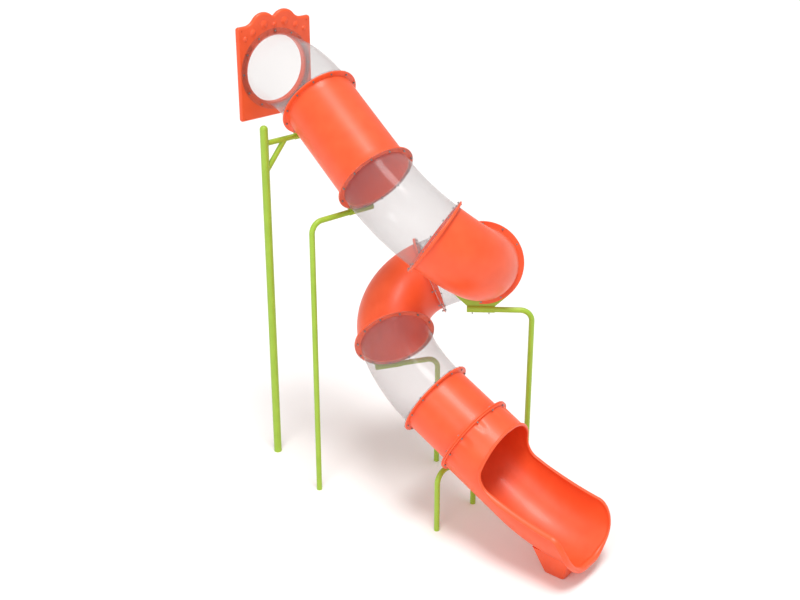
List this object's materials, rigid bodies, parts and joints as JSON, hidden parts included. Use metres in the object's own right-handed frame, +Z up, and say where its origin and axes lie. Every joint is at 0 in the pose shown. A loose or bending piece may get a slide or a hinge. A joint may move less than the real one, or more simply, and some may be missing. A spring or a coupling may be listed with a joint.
{
  "type": "playground spiral tube slide",
  "caption": "Spiral tube slide with an entry panel, moulded and clear tube sections, an open exit chute and steel pipe supports.",
  "frame": {"origin": "centre of the entry post's foot, on the ground", "axes": "+Z up; -Y is the way a rider leaves the deck, so +Y points from the slide to the deck; +X is the rider's left at the entry"},
  "size_m": [2.1259, 4.7662, 5.0989],
  "materials": {
    "moulded_plastic": "satin gloss moulded polyethylene, orange",
    "clear_polycarbonate": "clear thermoformed polycarbonate with a faint haze",
    "powder_coat": "lime green powder coat on galvanised steel",
    "zinc_fasteners": "zinc plated",
    "insert_brass": "plain brass"
  },
  "bodies": {
    "root": {"entry_panel": "moulded_plastic", "upper_straight_tube": "moulded_plastic", "upper_spiral_bend": "moulded_plastic", "lower_spiral_bend": "moulded_plastic", "lower_straight_tube": "moulded_plastic", "exit_chute": "moulded_plastic", "clear_entry_elbow": "clear_polycarbonate", "upper_clear_bend": "clear_polycarbonate", "middle_clear_bend": "clear_polycarbonate", "lower_clear_bend": "clear_polycarbonate", "entry_post": "powder_coat", "entry_post_arm": "powder_coat", "entry_post_brace": "powder_coat", "entry_saddle": "powder_coat", "upper_saddle": "powder_coat", "middle_saddle": "powder_coat", "lower_saddle": "powder_coat", "exit_saddle": "powder_coat", "upper_support_pipe": "powder_coat", "middle_support_pipe": "powder_coat", "lower_support_pipe": "powder_coat", "exit_leg_left": "powder_coat", "exit_leg_right": "powder_coat", "entry_post_cap": "powder_coat", "flange_bolts": "zinc_fasteners", "exit_joint_bolts": "zinc_fasteners", "saddle_bolts": "zinc_fasteners", "flange_nuts": "zinc_fasteners", "flange_washers": "zinc_fasteners", "panel_bolts": "zinc_fasteners", "sleeve_set_screws": "zinc_fasteners", "panel_inserts": "insert_brass"}
  },
  "joints": []
}
